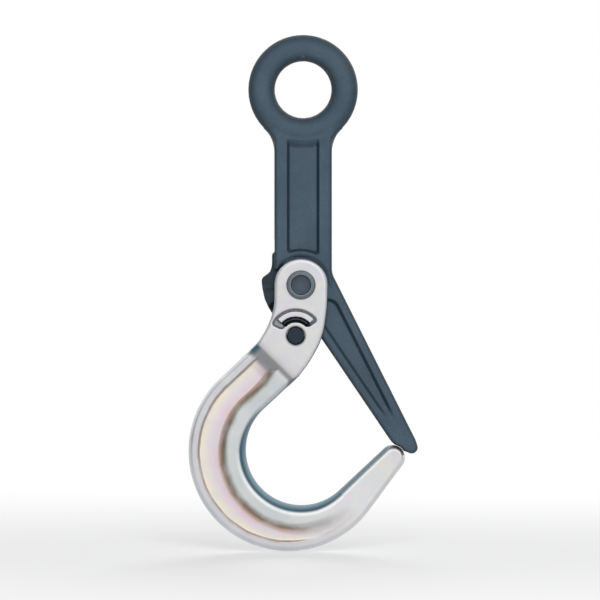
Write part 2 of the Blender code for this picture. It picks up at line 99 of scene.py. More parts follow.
EYE_WIRE = 5.45
EYE_RING = 17.45
EYE = (0.0, FORGING_HIGH.z - EYE_RING - EYE_WIRE)
SHANK_HALF_WIDTH = 12.0
SHANK_HALF = 6.9
FLARE = 14.5
HEAD_R = HOOK_HIGH.z - LOAD_PIN[1]
HEAD_HALF = HOOK_HIGH.y
FORK_HALF = 6.1
TONGUE_HALF = 5.8
TONGUE_R = 10.4
SHOULDER_R = HEAD_R + 0.5
SHOULDER_LEFT = 146.0
PANEL_HALF = 3.9
PANEL_HALF_WIDTH = 6.2
PANEL_FOOT_R = HEAD_R + 3.6
PANEL_TOP = (23.9, 24.6)
RAIL_DIP = 2.5
RAIL_DIP_FROM = 28.0
FLANK_FALL = 0.075
RELIEF_OUT = 21.9
RELIEF_IN = 7.6
RELIEF_HALF = 2.8
RELIEF_LEAN = 4.0
RELIEF_FOOT = 9.7
RELIEF_FOOT_LEAN = -20.0

BOWL_OUT_R = 41.9
BOWL_OUT = (HOOK_LOW.x + BOWL_OUT_R, HOOK_LOW.z + BOWL_OUT_R)
BOWL_IN_R = 23.4
BOWL_IN = (BOWL_OUT[0] + 5.4, BOWL_OUT[1] + 0.6)
NECK_ANGLE = 133.0
POINT_OUT = 323.5
POINT_IN = 313.0
POINT_HEADING = (POINT_OUT + POINT_IN) / 2 - 270.0
POINT_LENGTH = 24.3
THROAT_ANGLE = 42.0
RIB_HALF = 8.0
RIM_HALF = 6.1
FLOOR_HALF = 4.5
TIP_HALF = 5.0

LOAD_PIN_R = 5.0
TRIGGER_PIN_R = TRIGGER_PIN_END.x - TRIGGER_PIN[0]
GAP = 0.3
LEVER_HALF = 2.5
PAD_HALF = 5.2

# The fine raised line where a forging's two dies meet.
PARTING_WIDTH = 0.55
PAINTED_PARTING = 0.13
PLATED_PARTING = 0.12

# Fields are held between -BAND and BAND, and an outline is exact only within EXACT_WITHIN of its box.
BAND = 3.0
EXACT_WITHIN = 4.0


# ---- plane geometry ----------------------------------------------------------------------------------


def polar(centre, radius, angle):
    a = radians(angle)
    return (centre[0] + radius * cos(a), centre[1] + radius * sin(a))


def arc(centre, radius, start, end, steps):
    return [polar(centre, radius, start + (end - start) * i / steps) for i in range(steps + 1)]


def line_x(point, angle, z):
    a = radians(angle)
    return point[0] + (z - point[1]) * cos(a) / sin(a)


def rounded(points, radius, steps):
    """The outline with each corner replaced by a short curve."""
    made = []
    count = len(points)
    for i in range(count):
        before, here, after = Vector(points[i - 1]), Vector(points[i]), Vector(points[(i + 1) % count])
        reach_a = min(radius, (before - here).length * 0.45)
        reach_b = min(radius, (after - here).length * 0.45)
        a = here + (before - here).normalized() * reach_a
        b = here + (after - here).normalized() * reach_b
        for j in range(steps + 1):
            t = j / steps
            made.append(tuple(a * (1 - t) ** 2 + here * 2 * t * (1 - t) + b * t * t))
    return made


# ---- distance fields ---------------------------------------------------------------------------------


LONGEST_MOVE = 0.3


class Block:
    """A box of sample points. y is the distance from the middle plane, so both faces come out alike."""

    def __init__(self, low, high, voxel):
        self.voxel = np.array(voxel)
        self.low = np.floor(np.array(low) / self.voxel - 2) * self.voxel
        counts = np.ceil(np.array(high) / self.voxel + 2) - np.round(self.low / self.voxel) + 1
        x, y, z = [
            (start + step * np.arange(int(count), dtype=np.float32)).astype(np.float32)
            for start, step, count in zip(self.low, self.voxel, counts)
        ]
        self.x = x[:, None, None]
        self.y = np.abs(y[None, :, None])
        self.z = z[None, None, :]


class Scatter:
    """Loose sample points, read by the same fields as a Block."""

    def __init__(self, points):
        self.x, y, self.z = points.T
        self.y = np.abs(y)


def circle(b, centre, radius):
    return np.hypot(b.x - centre[0], b.z - centre[1]) - radius


def side(b, point, angle):
    """Distance beyond the line through point whose outward normal has this angle."""
    a = radians(angle)
    return (b.x - point[0]) * cos(a) + (b.z - point[1]) * sin(a)


def polygon(b, points):
    """Distance to a closed outline in the XZ plane, negative inside. It is rough far outside."""
    px, pz = np.broadcast_arrays(b.x, b.z)
    xs, zs = zip(*points)
    beyond_x = np.maximum(min(xs) - px, px - max(xs))
    beyond_z = np.maximum(min(zs) - pz, pz - max(zs))
    result = np.maximum(beyond_x, beyond_z)
    near = result < EXACT_WITHIN
    px, pz = px[near], pz[near]
    best = np.full(px.shape, 1e9, px.dtype)
    inside = np.zeros(px.shape, bool)
    for (x0, z0), (x1, z1) in zip(points, points[1:] + points[:1]):
        ex, ez = x1 - x0, z1 - z0
        wx, wz = px - x0, pz - z0
        t = np.clip((wx * ex + wz * ez) / (ex * ex + ez * ez + 1e-12), 0.0, 1.0)
        best = np.minimum(best, (wx - t * ex) ** 2 + (wz - t * ez) ** 2)
        if z0 != z1:
            crosses = (pz < z0) != (pz < z1)
            inside ^= crosses & (px < x0 + (pz - z0) * ex / ez)
    result[near] = np.where(inside, -1.0, 1.0) * np.sqrt(best)
    return result


def join(a, b, k):
    """Smooth union with a fillet about k wide."""
    h = np.maximum(k - np.abs(a - b), 0.0) / k
    return np.minimum(a, b) - h * h * k * 0.25


def meet(a, b, k):
    """Smooth intersection with an edge round about k wide."""
    return -join(-a, -b, k)


def cut(a, b, k):
    return meet(a, -b, k)


def ease(value, low, high):
    t = np.clip((value - low) / (high - low), 0.0, 1.0)
    return t * t * (3 - 2 * t)


def slab(outline, height, half, r):
    """An outline given thickness, with its edges rounded to radius r."""
    in_plane = outline + r
    across = height - half + r
    corner = np.hypot(np.maximum(in_plane, 0.0), np.maximum(across, 0.0))
    return np.minimum(np.maximum(in_plane, across), 0.0) + corner - r


def gradient(field, points, step=0.06):
    slopes = []
    for axis in range(3):
        shift = np.zeros(3)
        shift[axis] = step
        slopes.append((field(Scatter(points + shift)) - field(Scatter(points - shift))) / (2 * step))
    return np.stack(slopes, axis=1)


def field_mesh(name, block, field, **marks):
    """The zero surface of a field as a quad mesh, on the true surface and with the field's own normals.

    Each mark is a function of sample points, kept on the mesh as an attribute for its material."""
    grid = openvdb.FloatGrid(BAND)
    sampled = np.clip(field(block), -BAND, BAND)
    grid.copyFromArray(np.ascontiguousarray(sampled, dtype=np.float32))
    points, quads = grid.convertToQuads(isovalue=0.0)
    points, quads = biggest_shell(points * block.voxel + block.low, quads)
    points = onto_surface(field, points, LONGEST_MOVE * block.voxel[0])
    normals = gradient(field, points)
    normals /= np.maximum(np.linalg.norm(normals, axis=1, keepdims=True), 1e-9)
    corners = points[quads]
    across = np.cross(corners[:, 2] - corners[:, 0], corners[:, 3] - corners[:, 1])
    if (across * normals[quads[:, 0]]).sum() < 0:
        quads = quads[:, ::-1]
    mesh = bpy.data.meshes.new(name)
    mesh.from_pydata((points * MM).tolist(), [], quads.tolist())
    mesh.shade_smooth()
    mesh.normals_split_custom_set_from_vertices(normals.tolist())
    for mark, function in marks.items():
        values = np.broadcast_to(function(Scatter(points)), (len(points),))
        layer = mesh.attributes.new(mark, "FLOAT", "POINT")
        layer.data.foreach_set("value", np.ascontiguousarray(values, dtype=np.float32))
    return mesh


def onto_surface(field, points, longest):
    """The points after a few Newton steps along the field's slope, none longer than the limit given."""
    slope = gradient(field, points)
    steepness = np.maximum((slope**2).sum(axis=1), 0.2)
    for _ in range(3):
        move = (field(Scatter(points)) / steepness)[:, None] * slope
        length = np.linalg.norm(move, axis=1, keepdims=True)
        points = points - move * np.minimum(1.0, longest / np.maximum(length, 1e-9))
    return points


def biggest_shell(points, quads):
    """The connected part with the most points, and its quads, renumbered."""
    label = np.arange(len(points))
    while True:
        lowest = label[quads].min(axis=1)
        new = label.copy()
        for corner in range(4):
            np.minimum.at(new, quads[:, corner], lowest)
        new = new[new]
        if (new == label).all():
            break
        label = new
    names, sizes = np.unique(label, return_counts=True)
    keep = label == names[sizes.argmax()]
    quads = quads[keep[quads[:, 0]]]
    used = np.unique(quads)
    renumber = np.zeros(len(points), np.int64)
    renumber[used] = np.arange(len(used))
    return points[used].astype(np.float64), renumber[quads]


def piece(mesh, body, material, node):
    """An object for the mesh, under the mesh's name, that rides on a body and stands in for a node."""
    thing = bpy.data.objects.new(mesh.name, mesh)
    bpy.context.scene.collection.objects.link(thing)
    mesh.materials.append(material)
    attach(thing, body)
    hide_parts(node)


# ---- eye, shank, tongue and latch arm ----------------------------------------------------------------


def point_out(distance):
    """A place on the point's straight outer edge, this far along it."""
    return polar(polar(BOWL_OUT, BOWL_OUT_R, POINT_OUT), distance, POINT_OUT - 270.0)


def point_in(distance):
    """A place on the point's straight inner edge, this far along it."""
    return polar(polar(BOWL_IN, BOWL_IN_R, POINT_IN), distance, POINT_IN - 270.0)


def tip():
    """Centre and radius of the hook's round tip."""
    a, b = point_out(POINT_LENGTH - 1.0), point_in(POINT_LENGTH + 1.0)
    return ((a[0] + b[0]) / 2, (a[1] + b[1]) / 2), hypot(a[0] - b[0], a[1] - b[1]) / 2


ARM_TOP = (SHANK_HALF_WIDTH, LOAD_PIN[1] + 4.9)
ARM_RIGHT_ANGLE = -63.3
ARM_LEFT = (LOAD_PIN[0] + 9.15, LOAD_PIN[1] - 23.1)
ARM_LEFT_ANGLE = -55.9
ARM_NOSE = (45.6, 43.5)
ARM_NOSE_R = 2.5
ARM_NOSE_HALF = 4.0
ARM_THICKENS = (46.0, 100.0)
ARM_RIB = 3.3
WEB_DEPTH = 2.1
WEB_FOOT = (54.0, 62.0)
SEAT_GAP = 0.35


def arm_outline():
    tip_centre, tip_radius = tip()
    high = ARM_NOSE[1] + 3.2
    right = (line_x(ARM_TOP, ARM_RIGHT_ANGLE, high), high)
    nose = arc(ARM_NOSE, ARM_NOSE_R, 15.0, -125.0, 10)
    seat = arc(tip_centre, tip_radius + SEAT_GAP, 32.0, 78.0, 10)
    low = seat[-1][1] + 1.6
    left = [(line_x(ARM_LEFT, ARM_LEFT_ANGLE, z), z) for z in (low, LOAD_PIN[1] - 12.7)]
    hub = arc(LOAD_PIN, TONGUE_R, 262.0, 137.0, 30)
    crest = LOAD_PIN[1] + 12.2
    top = [(-8.7, crest), (9.5, crest), (11.2, ARM_TOP[1] + 1.7)]
    return top + [right] + nose + seat + left + hub


def web_hollow(b):
    """Distance in the plane to the hollow between the arm's ribs, which narrows towards the nose."""
    right = side(b, ARM_TOP, ARM_RIGHT_ANGLE + 90.0) + ARM_RIB
    left = -side(b, ARM_LEFT, ARM_LEFT_ANGLE + 90.0) + ARM_RIB
    top = side(b, (0.0, LOAD_PIN[1] - 5.6), 90.0)
    return meet(meet(right, left, 1.5), top, 3.0)


def flare_web(b, wide, from_eye):
    """The web under the ring, bounded by round fillets from the shank's sides into the ring."""
    ring_reach = EYE_RING + np.sqrt(np.maximum(EYE_WIRE**2 - b.y**2, 0.0))
    corner_x = SHANK_HALF_WIDTH + FLARE
    drop = np.sqrt((ring_reach + FLARE) ** 2 - corner_x**2)
    corner_z = EYE[1] - drop
    web = np.maximum(FLARE - np.hypot(wide - corner_x, b.z - corner_z), corner_z - b.z)
    web = np.maximum(web, (wide * drop + (b.z - EYE[1]) * corner_x) / np.hypot(drop, corner_x))
    return np.maximum(web, EYE_RING - from_eye)


def panel_share(b, wide):
    """1 on the floor of the shank's recessed panel, 0 on the rails round it."""
    foot = circle(b, LOAD_PIN, PANEL_FOOT_R)
    walls = meet(wide - PANEL_HALF_WIDTH, -foot, 2.0)
    return ease(-walls, -0.8, 0.7)


def shank_field(b):
    """The shank, flared into the eye, with its recessed panel and a round shoulder below."""
    wide = np.abs(b.x)
    from_eye = circle(b, EYE, 0.0)
    crown = EYE[1] - EYE_RING
    column = np.maximum(wide - SHANK_HALF_WIDTH, b.z - crown - 3.0)
    sides = np.minimum(column, flare_web(b, wide, from_eye))
    sides = np.maximum(sides, -circle(b, LOAD_PIN, SHOULDER_R))
    horn_z = polar(LOAD_PIN, SHOULDER_R, SHOULDER_LEFT)[1]
    below = np.where(b.x < LOAD_PIN[0], horn_z, LOAD_PIN[1]) - b.z
    sides = np.maximum(sides, below)
    rails = SHANK_HALF - RAIL_DIP * ease(RAIL_DIP_FROM - from_eye, 0.0, 9.0)
    flank = EYE_WIRE - FLANK_FALL * np.maximum(from_eye - EYE_RING - 0.9, 0.0) ** 2
    floor = flank + (PANEL_HALF - flank) * ease(from_eye, *PANEL_TOP)
    half = rails + (np.minimum(floor, rails) - rails) * panel_share(b, wide)
    return slab(sides, b.y, half, 2.0)


def arm_field(b):
    """The tongue and the latch arm, thinner to its nose, with a hollow web between two ribs."""
    outline = polygon(b, rounded(arm_outline(), 0.8, 3))
    half = ARM_NOSE_HALF + (TONGUE_HALF - ARM_NOSE_HALF) * ease(b.z, *ARM_THICKENS)
    half = half - WEB_DEPTH * ease(-web_hollow(b), -0.3, 1.5) * ease(b.z, *WEB_FOOT)
    return slab(outline, b.y, half, 1.9)


def eye_latch_field(b):
    """The whole forging, with its parting line, the relief for the trigger and the load pin's bore."""
    ring = np.hypot(circle(b, EYE, EYE_RING), b.y) - EYE_WIRE
    body = join(ring, shank_field(b), 0.8)
    body = join(body, arm_field(b), 1.0)
    body = body - PAINTED_PARTING * np.exp(-((b.y / PARTING_WIDTH) ** 2))
    sweep = np.maximum(circle(b, LOAD_PIN, RELIEF_OUT), -circle(b, LOAD_PIN, RELIEF_IN))
    sweep = np.maximum(sweep, side(b, LOAD_PIN, RELIEF_LEAN) - 1.0)
    foot = np.maximum(sweep, side(b, LOAD_PIN, RELIEF_FOOT_LEAN))
    sweep = np.where(b.z < LOAD_PIN[1] - RELIEF_FOOT, foot, sweep)
    relief = np.maximum(sweep, b.y - RELIEF_HALF)
    body = cut(body, relief, 0.4)
    return cut(body, circle(b, LOAD_PIN, LOAD_PIN_R + GAP), 0.4)


def make_eye_latch(material):
    block = Block(FORGING_LOW, FORGING_HIGH, voxel=(0.4, 0.55, 0.4))
    mesh = field_mesh("forged_eye_and_latch", block, eye_latch_field)
    piece(mesh, "eye_and_latch", material, "eye_latch_forging")


# ---- hook body ---------------------------------------------------------------------------------------


STEP_LEFT = (LOAD_PIN[0] - 16.8, LOAD_PIN[1] - 24.8)
STEP_ANGLE = -44.5
STEP_SLOPE = 0.94
SLOT_PAST_STEP = 6.0
SLOT_FOOT = 70.0
WALL_ANGLES = (133.0, 150.0, 180.0, 200.0, 255.0, 270.0, 285.0, 300.0, 313.0)
WALL_FROM_INNER = (8.3, 9.1, 9.9, 10.2, 10.1, 9.5, 8.9, 8.5, 8.0)
WALL_RUN = 2.0
FADE_ANGLES = (248.0, 270.0, 285.0, 300.0, 313.0)
FADE_DEPTHS = (1.0, 0.70, 0.36, 0.14, 0.0)
EDGE_ROUND = 1.9
CAP_ROUND = 2.6
BEARING_ANGLES = (NECK_ANGLE, 150.0, 180.0, 285.0, POINT_IN)
BEARING_ROUND = (EDGE_ROUND, 2.4, 3.8, 3.8, 3.0)
BEARING_WIDTH = (0.6, 1.4, 2.6, 2.5, 1.5)
BROW_DEPTH = 1.5
CRESCENT_DEPTH = 1.7

# Distances in from both edges, the angle along the bowl, the groove wall's distance from the inner edge,
# the share of the groove's depth, whether it is the neck or the point, and the distance past the tip.
BowlPlace = namedtuple("BowlPlace", "outer inner turn wall depth on_neck on_point ahead")


def below_step(b):
    """Distance below the step across the neck. The point rises past its line, but counts as below."""
    below = -side(b, STEP_LEFT, STEP_ANGLE + 90.0)
    beyond_throat = (b.x > 5.0) & (b.z < 72.0)
    return np.where(beyond_throat, np.maximum(below, 36.0), below)


def bowl_edges(b):
    """Distances in from the bowl's outer edge and from its inner edge, and the angle along the bowl."""

    def edge(centre, radius, last):
        dx, dz = b.x - centre[0], b.z - centre[1]
        turn = np.degrees(np.arctan2(dz, dx)) % 360.0
        first_line = dx * cos(radians(NECK_ANGLE)) + dz * sin(radians(NECK_ANGLE))
        last_line = dx * cos(radians(last)) + dz * sin(radians(last))
        reach = np.where((turn > THROAT_ANGLE) & (turn < NECK_ANGLE), first_line, np.hypot(dx, dz))
        reach = np.where((turn <= THROAT_ANGLE) | (turn > last), last_line, reach)
        return reach - radius, turn

    outer = edge(BOWL_OUT, BOWL_OUT_R, POINT_OUT)[0]
    inner, turn = edge(BOWL_IN, BOWL_IN_R, POINT_IN)
    return -outer, inner, turn


def bowl_shape(b):
    """Where each point lies in the bowl's section and along its length."""
    outer, inner, turn = bowl_edges(b)
    on_neck = (turn > THROAT_ANGLE) & (turn < NECK_ANGLE)
    on_point = (turn <= THROAT_ANGLE) | (turn > POINT_IN)
    up_neck = side(b, BOWL_IN, NECK_ANGLE - 90.0)
    corner = 1.0 - ease(below_step(b), 6.0, 11.0)
    neck_wall = WALL_FROM_INNER[0] + ease(up_neck, 0.0, 22.0) + 0.5 * corner
    wall = np.where(on_neck, neck_wall, np.interp(turn, WALL_ANGLES, WALL_FROM_INNER))
    depth = np.where(on_point, 0.0, np.interp(turn, FADE_ANGLES, FADE_DEPTHS))
    ahead = side(b, tip()[0], POINT_HEADING)
    return BowlPlace(outer, inner, turn, wall, depth, on_neck, on_point, ahead)


def bowl_half(b, s, taper):
    """Half thickness over the rim, the groove, its wall and the rib, before the edges are rounded."""
    rib = RIB_HALF + 1.4 * (1.0 - ease(below_step(b), 0.0, 26.0))
    rim_share = np.interp(s.turn, (240.0, 262.0, 288.0), (1.0, 1.0, 0.0)) * ~s.on_point
    on_rim = (1.0 - ease(s.outer, 3.8, 5.0)) * rim_share
    fall = np.interp(s.turn, (255.0, 290.0), (WALL_RUN, 3.2))
    floor = rib - (rib - FLOOR_HALF) * s.depth
    rim_depth = np.where(s.turn < 200.0, 1.0, s.depth)
    floor = floor + (rib - (rib - RIM_HALF) * rim_depth - floor) * on_rim
    half = rib - (rib - floor) * ease(s.inner, s.wall - fall, s.wall + fall - 0.1)
    return half - (half - TIP_HALF) * taper


def bowl_field(b):
    """The bowl: a low outer rim, a groove with a tall inner wall, a broad rib and a round inner edge."""
    s = bowl_shape(b)
    tip_centre, tip_radius = tip()
    taper = ease(s.ahead, -52.0, 4.0) * (s.on_point | (s.turn > 250.0))
    half = bowl_half(b, s, taper)
    inner_round = np.interp(s.turn, BEARING_ANGLES, BEARING_ROUND)
    inner_round = np.where(s.turn < NECK_ANGLE, EDGE_ROUND, inner_round)
    inner_round = np.where(s.on_point, BEARING_ROUND[-1] - 0.4 * taper, inner_round)
    edge_out = np.maximum((EDGE_ROUND - s.outer) / EDGE_ROUND, 0.0)
    edge_in = np.maximum((inner_round - s.inner) / inner_round, 0.0)
    wide = np.maximum(edge_out, edge_in)
    span = np.where(edge_out > edge_in, EDGE_ROUND, inner_round)
    cap = tip_radius - circle(b, tip_centre, 0.0)
    bearing = np.arctan2(b.z - tip_centre[1], b.x - tip_centre[0])
    leaning = bearing - radians(POINT_HEADING)
    cap_round = EDGE_ROUND + (CAP_ROUND - EDGE_ROUND) * ease(np.sin(leaning), 0.2, 1.0)
    at_tip = (s.ahead > 0.0) & s.on_point
    wide = np.where(at_tip, np.maximum((cap_round - cap) / cap_round, 0.0), wide)
    span = np.where(at_tip, cap_round, span)
    up = np.maximum(b.y, 0.02) / half
    n = np.hypot(wide, up)
    core = (n - 1.0) * n / np.hypot(wide / span, up / half)
    core = np.where(np.minimum(s.outer, s.inner) < -6.0, BAND, core)
    return np.maximum(core, -(below_step(b) + 1.5))


def neck_line(centre, radius, z):
    """x of the neck's straight side at height z."""
    start = polar(centre, radius, NECK_ANGLE)
    return line_x(start, NECK_ANGLE - 90.0, z)


def head_outline():
    """The round head over the load pin, and its sides down into the neck."""
    top = arc(LOAD_PIN, HEAD_R, 180.0, 0.0, 36)
    x, z = LOAD_PIN
    right = [(x + 11.1, z - 6.3), (x + 10.7, z - 11.7), (x + 9.7, z - 18.7), (x + 7.75, z - 24.7)]
    right += [(x + 5.0, z - 29.8), (x + 2.9, z - 33.2), (x + 0.5, z - 36.3)]
    right += [(neck_line(BOWL_IN, BOWL_IN_R, v) - 0.1, v) for v in (z - 37.6, z - 40.0, z - 43.0)]
    left = [(x - 11.1, z - 6.3), (x - 11.5, z - 10.1), (x - 12.7, z - 14.3), (x - 14.7, z - 18.8)]
    left += [(x - 17.0, z - 22.6)]
    left += [(neck_line(BOWL_OUT, BOWL_OUT_R, v) + 0.1, v) for v in (z - 25.0, z - 28.0, z - 34.0)]
    return top + right + left[::-1]


def head_field(b):
    """The forked head, cut down by the sloped step and by the arched hollow."""
    outline = polygon(b, rounded(head_outline(), 1.8, 4))
    below = below_step(b)
    half = HEAD_HALF - STEP_SLOPE * 0.5 * (below + np.hypot(below, 0.9))
    half = half - brow_depth(b)
    return slab(outline, b.y, half, 1.8)


def brow_depth(b):
    """The arched hollow round the trigger pin, with its raised arch and the deep crescent under it."""
    dx, dz = b.x - TRIGGER_PIN[0], b.z - TRIGGER_PIN[1]
    r = np.hypot(dx, dz)
    lean = np.arctan2(dx, dz)

    def arch(radius, flat, end, reach):
        """Distance to an arched bar: its middle radius, half flat width, round end and reach each way."""
        along = np.maximum(np.abs(lean) * radius - reach, 0.0)
        return np.hypot(np.maximum(np.abs(r - radius) - flat, 0.0), along) - end

    pocket = arch(8.6, 1.2, 1.9, np.where(lean < 0.0, 8.4, 6.9))
    ridge = arch(9.05, 0.75, 0.6, 7.2)
    crescent = arch(6.75, 0.5, 0.75, 5.2)
    depth = BROW_DEPTH * ease(-pocket, -0.1, 1.3)
    depth = depth - (BROW_DEPTH - 0.15) * ease(-ridge, -0.35, 0.45)
    return depth + CRESCENT_DEPTH * ease(-crescent, -0.1, 0.7)


def hollow_shade_share(b):
    """The hollow's depth and the gap round the trigger pin, for painted shade in both."""
    rim = circle(b, TRIGGER_PIN, TRIGGER_PIN_R)
    return brow_depth(b) + 1.8 * (1.0 - ease(rim, 0.2, 1.2))


def hook_field(b):
    """Bowl and head in one, with the fork's slot and both bores. The groove runs softly into the step."""
    below = below_step(b)
    s = bowl_shape(b)
    near_step = ease(below, 2.0, 5.0) * (1.0 - ease(below, 12.0, 16.0))
    in_groove = ease(s.outer, 1.0, 4.0) * ease(s.inner - s.wall, -3.0, 0.5)
    body = join(bowl_field(b), head_field(b), 0.7 + 2.8 * near_step * in_groove)
    body = body - PLATED_PARTING * np.exp(-((b.y / PARTING_WIDTH) ** 2)) * (below > 0.0)
    slot_floor = polar(STEP_LEFT, SLOT_PAST_STEP, STEP_ANGLE + 90.0)
    slot = np.maximum(-side(b, slot_floor, STEP_ANGLE + 90.0), SLOT_FOOT - b.z)
    body = cut(body, slab(slot, b.y, FORK_HALF, 1.0), 0.6)
    body = cut(body, circle(b, LOAD_PIN, LOAD_PIN_R + GAP), 0.5)
    return cut(body, circle(b, TRIGGER_PIN, TRIGGER_PIN_R + 0.06), 0.3)


def section_place(b):
    """Place across the bowl's section, for the plating's bands, which hold its tints and the groove walls'
    painted highlight and shade.

    It is 0 at the outer edge, 0.2 to 0.3 over the outer wall, 0.5 to 0.65 over the inner wall and 1 at
    the inner edge."""
    s = bowl_shape(b)
    near_outer = np.interp(s.outer, (0.0, 4.3, 5.6), (0.0, 0.2, 0.3))
    spare = s.outer + s.inner - s.wall
    floor = np.clip((spare - 1.7 - s.outer) / np.maximum(spare - 7.3, 0.5), 0.0, 1.0)
    place = 0.5 - 0.2 * floor
    wall_part = 0.65 - 0.15 * np.clip((s.inner - s.wall + 2.0) / 3.7, 0.0, 1.0)
    place = np.where(s.inner < s.wall + 1.7, wall_part, place)
    rib_part = 0.88 - 0.23 * np.clip((s.inner - 3.0) / np.maximum(s.wall - 5.0, 0.5), 0.0, 1.0)
    place = np.where(s.inner < s.wall - 2.0, rib_part, place)
    place = np.where(s.inner < 3.0, 1.0 - 0.12 * np.clip(s.inner / 3.0, 0.0, 1.0), place)
    return np.where(s.outer < 5.6, near_outer, place)


def groove_share(b):
    """How much of the groove's banded colour, with its painted highlight and shade, shows: all in the bowl,
    none on the head and the point.
    """
    s = bowl_shape(b)
    on_rim = (1.0 - ease(s.outer, 4.0, 6.0)) * (s.turn < 250.0)
    shown = np.clip(np.maximum(s.depth * 1.1, on_rim), 0.0, 1.0)
    return shown * ease(below_step(b), 2.5, 7.0)


def bearing_share(b):
    """The dark inner edge, thin at the neck and the point and broad in the bowl, and painted shade at the
    step's outer end.
    """
    s = bowl_shape(b)
    width = np.interp(s.turn, BEARING_ANGLES, BEARING_WIDTH)
    width = np.where(s.on_point, BEARING_WIDTH[-1] - 0.5 * ease(s.ahead, -40.0, 0.0), width)
    width = np.where(s.on_neck, BEARING_WIDTH[0], width)
    below = below_step(b)
    edge = (1.0 - ease(s.inner, width - 0.5, width + 0.6)) * ease(below, -6.0, 2.0)
    on_slope = ease(below, 0.4, 1.6) * (1.0 - ease(below, 4.2, 5.8))
    # Painted shade where the step's slope meets the outer edge.
    end = (1.0 - ease(s.outer, 1.2, 3.2)) * on_slope
    return np.maximum(edge, end)


def lip_highlight_share(b):
    """The painted highlight line beside the bearing edge, on the part of the bowl that faces up."""
    s = bowl_shape(b)
    faces_up = np.interp(s.turn, (185.0, 205.0), (0.0, 1.0))
    place = np.interp(s.turn, (285.0, POINT_IN), (3.7, 2.5))
    place = np.where(s.on_point, 2.5 - 0.5 * ease(s.ahead, -40.0, 0.0), place)
    return np.exp(-(((s.inner - place) / 0.5) ** 2)) * np.where(s.on_point, 0.8, faces_up)


def head_share(b):
    """1 on the head, 0 below the step."""
    return 1.0 - ease(below_step(b), -1.0, 5.0)


def slope_shade_share(b):
    """Where the sloped step under the cheek gets painted shade."""
    below = below_step(b)
    height = b.y - (HEAD_HALF - STEP_SLOPE * below)
    along = ease(below, 0.0, 1.4) * (1.0 - ease(below, 5.0, 8.0))
    return along * (1.0 - ease(np.abs(height), 0.4, 1.6))


def make_hook(material):
    block = Block(HOOK_LOW, HOOK_HIGH, voxel=(0.42, 0.55, 0.42))
    mesh = field_mesh(
        "plated_hook",
        block,
        hook_field,
        section=section_place,
        groove=groove_share,
        bearing=bearing_share,
        slope=slope_shade_share,
        hollow=hollow_shade_share,
        lip=lip_highlight_share,
        head=head_share,
    )
    piece(mesh, "hook", material, "hook_body")


# ---- trigger -----------------------------------------------------------------------------------------


# How far one degree round the load pin is, along the trigger's lobe.
MM_PER_DEGREE = 0.21


def trigger_outline():
    """Hub, back with its thumb lobe and ledge, nose, and an inner side that follows the load pin."""
    x, z = TRIGGER_PIN
    nose = arc((x - 8.2, z + 33.5), 1.6, 170.0, 10.0, 8)
    back = [(x - 6.5, z + 3.9), (x - 8.9, z + 8.1), (x - 11.3, z + 11.9), (x - 12.9, z + 15.5)]
    back += [(x - 13.8, z + 19.8), (x - 14.15, z + 22.9)]
    ledge = [(x - 13.8, z + 24.3), (x - 12.3, z + 25.3), (x - 10.6, z + 26.7)]
    ledge += [(x - 9.9, z + 28.9), (x - 9.75, z + 31.0)]
    inner = arc(LOAD_PIN, 8.3, 135.0, 212.0, 14) + [(x - 3.8, z + 10.3)]
    hub = arc(TRIGGER_PIN, 6.0, 128.0, -205.0, 30)
    return back + ledge + nose + inner + hub


def trigger_field(b):
    """A flat lever whose lobe swells into a wider thumb pad."""
    outline = polygon(b, rounded(trigger_outline(), 0.7, 3))
    lever = slab(outline, b.y, LEVER_HALF, 0.6)
    turn = np.degrees(np.arctan2(b.z - LOAD_PIN[1], b.x - LOAD_PIN[0])) % 360.0
    past_top = (turn - 180.0) * MM_PER_DEGREE
    before_foot = (222.0 - turn) * MM_PER_DEGREE
    swell = ease(past_top, 0.0, 3.8) * ease(before_foot, 0.0, 2.5)
    pad = np.maximum(outline, -circle(b, LOAD_PIN, TONGUE_R + 0.5))
    pad_half = LEVER_HALF - 0.1 + (PAD_HALF - LEVER_HALF + 0.1) * swell
    body = join(lever, slab(pad, b.y, pad_half, 0.8), 0.8)
    return cut(body, circle(b, TRIGGER_PIN, TRIGGER_PIN_R + GAP), 0.3)


def make_trigger(material):
    block = Block(TRIGGER_LOW, TRIGGER_HIGH, voxel=(0.25, 0.3, 0.25))
    mesh = field_mesh("release_trigger", block, trigger_field)
    piece(mesh, "trigger", material, "trigger")


# ---- pins --------------------------------------------------------------------------------------------


TURN_STEPS = 96


def turned_mesh(name, profile, centre):
    """A pin turned about the Y axis, from (radius, y) points that start and end on the axis."""
    rings = profile[1:-1]
    points = [(centre[0], y, centre[1]) for _, y in (profile[0], profile[-1])]
    for radius, y in rings:
        points += [(x, y, z) for x, z in arc(centre, radius, 0.0, 360.0, TURN_STEPS)[:-1]]
    faces = []
    for a in range(TURN_STEPS):
        b = (a + 1) % TURN_STEPS
        firsts = [2 + i * TURN_STEPS for i in range(len(rings))]
        faces.append((0, firsts[0] + b, firsts[0] + a))
        faces += [(i + a, i + b, j + b, j + a) for i, j in zip(firsts, firsts[1:])]
        faces.append((firsts[-1] + a, firsts[-1] + b, 1))
    mesh = bpy.data.meshes.new(name)
    mesh.from_pydata([[v * MM for v in point] for point in points], [], faces)
    mesh.shade_smooth()
    mesh.set_sharp_from_angle(angle=radians(50))
    return mesh


def mirrored(end):
    """A pin's profile from one end's profile, which starts on the axis."""
    return end + [(radius, -y) for radius, y in reversed(end)]


